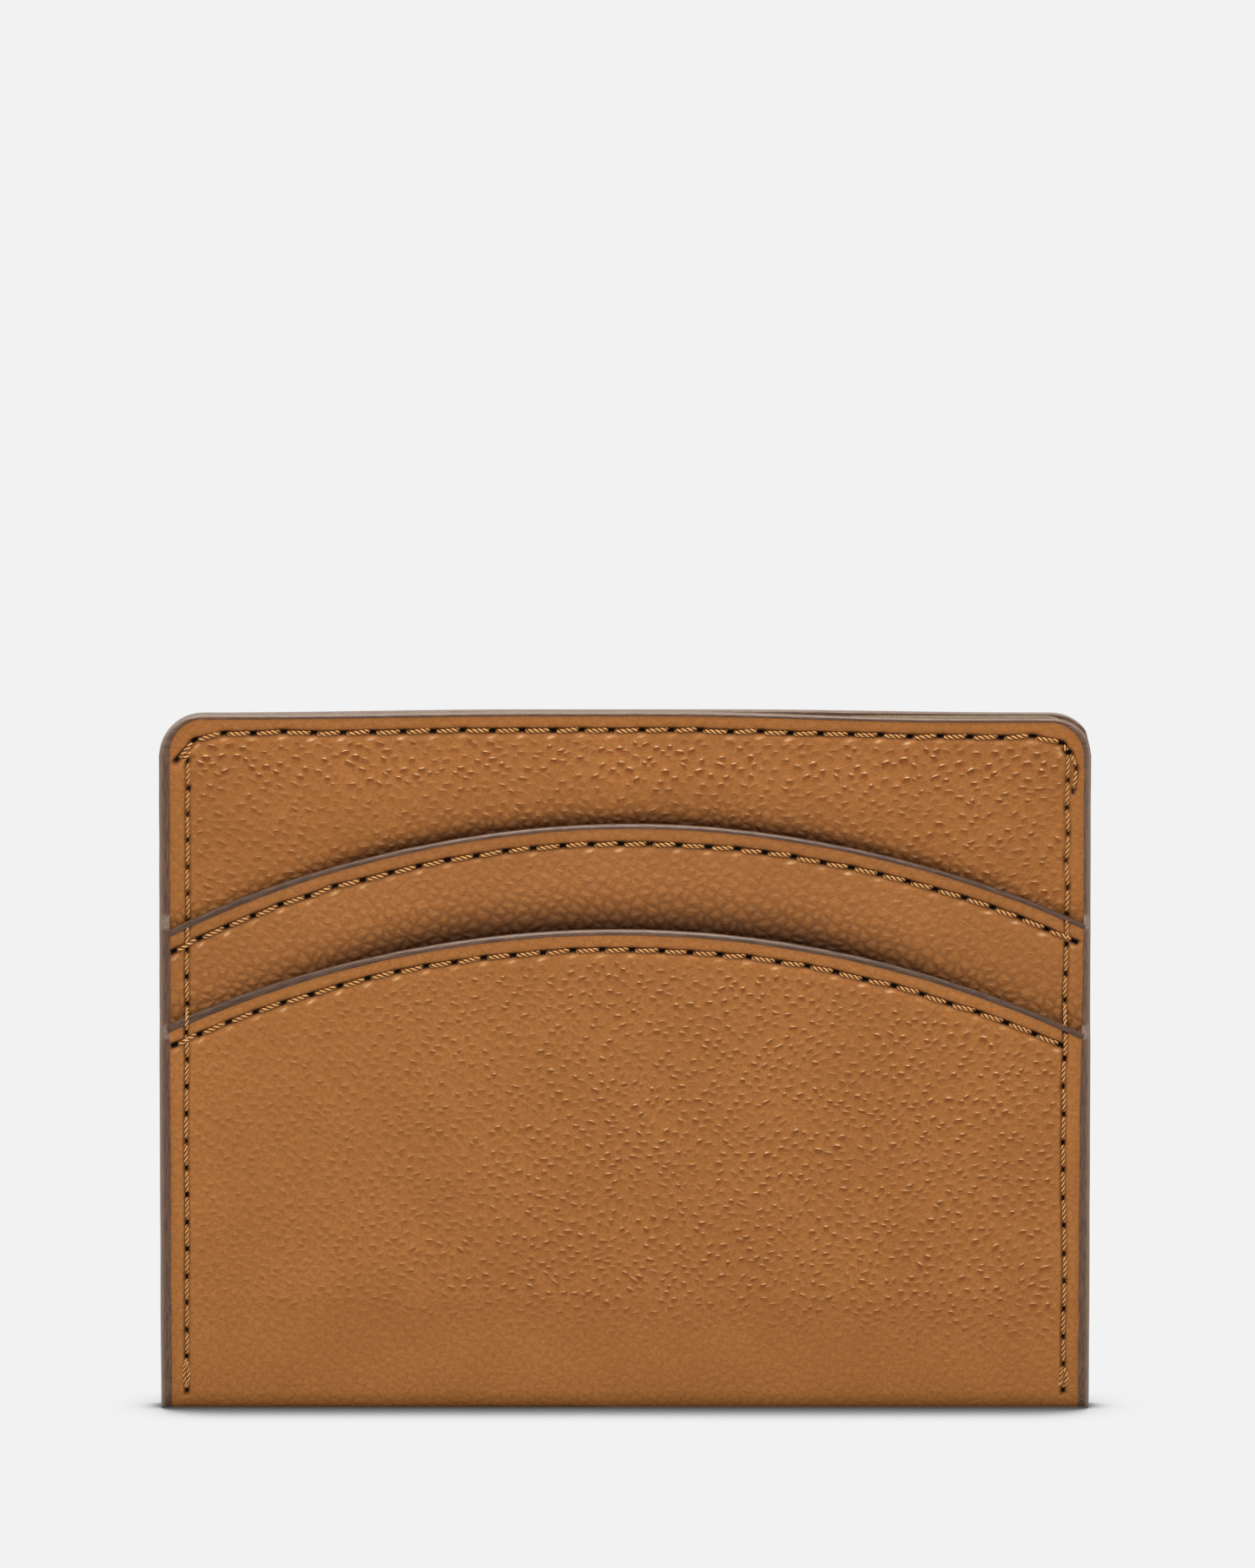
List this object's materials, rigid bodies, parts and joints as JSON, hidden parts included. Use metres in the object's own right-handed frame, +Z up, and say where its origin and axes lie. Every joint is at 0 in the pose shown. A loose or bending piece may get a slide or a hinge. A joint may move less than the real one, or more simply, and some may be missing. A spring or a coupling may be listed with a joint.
{
  "type": "card holder",
  "caption": "Flat stitched leather card holder with an open-topped centre pocket, arc-cut card slots on both faces, painted edges and a folded bottom.",
  "frame": {"origin": "on the bottom fold, midway along the width and the depth", "axes": "+X along the width to the right seen from the front, +Y from the front to the rear, +Z up to the open top"},
  "size_m": [0.1016, 0.007, 0.077],
  "materials": {
    "leather": "semi-gloss cross-grain embossed",
    "edge_paint": "satin rubbery edge paint",
    "thread": "twisted polyester thread, satin",
    "lining": "fine woven, matte",
    "stiffener": "matte fibre board"
  },
  "bodies": {
    "root": {"centre_pocket_lining": "lining", "front_lower_mouth_edge_paint": "edge_paint", "front_lower_mouth_stitching": "thread", "front_lower_slot_lining": "lining", "front_main_panel": "leather", "front_panel_stiffener": "stiffener", "front_slot_floor_stitching": "thread", "front_top_edge_paint": "edge_paint", "front_top_stitching": "thread", "front_upper_mouth_edge_paint": "edge_paint", "front_upper_mouth_stitching": "thread", "front_upper_pocket": "leather", "front_upper_slot_lining": "lining", "left_side_edge_paint": "edge_paint", "left_side_stitching": "thread", "outer_wrap": "leather", "rear_lower_mouth_edge_paint": "edge_paint", "rear_lower_mouth_stitching": "thread", "rear_lower_slot_lining": "lining", "rear_main_panel": "leather", "rear_panel_stiffener": "stiffener", "rear_slot_floor_stitching": "thread", "rear_top_edge_paint": "edge_paint", "rear_top_stitching": "thread", "rear_upper_mouth_edge_paint": "edge_paint", "rear_upper_mouth_stitching": "thread", "rear_upper_pocket": "leather", "rear_upper_slot_lining": "lining", "right_side_edge_paint": "edge_paint", "right_side_stitching": "thread"}
  },
  "joints": []
}
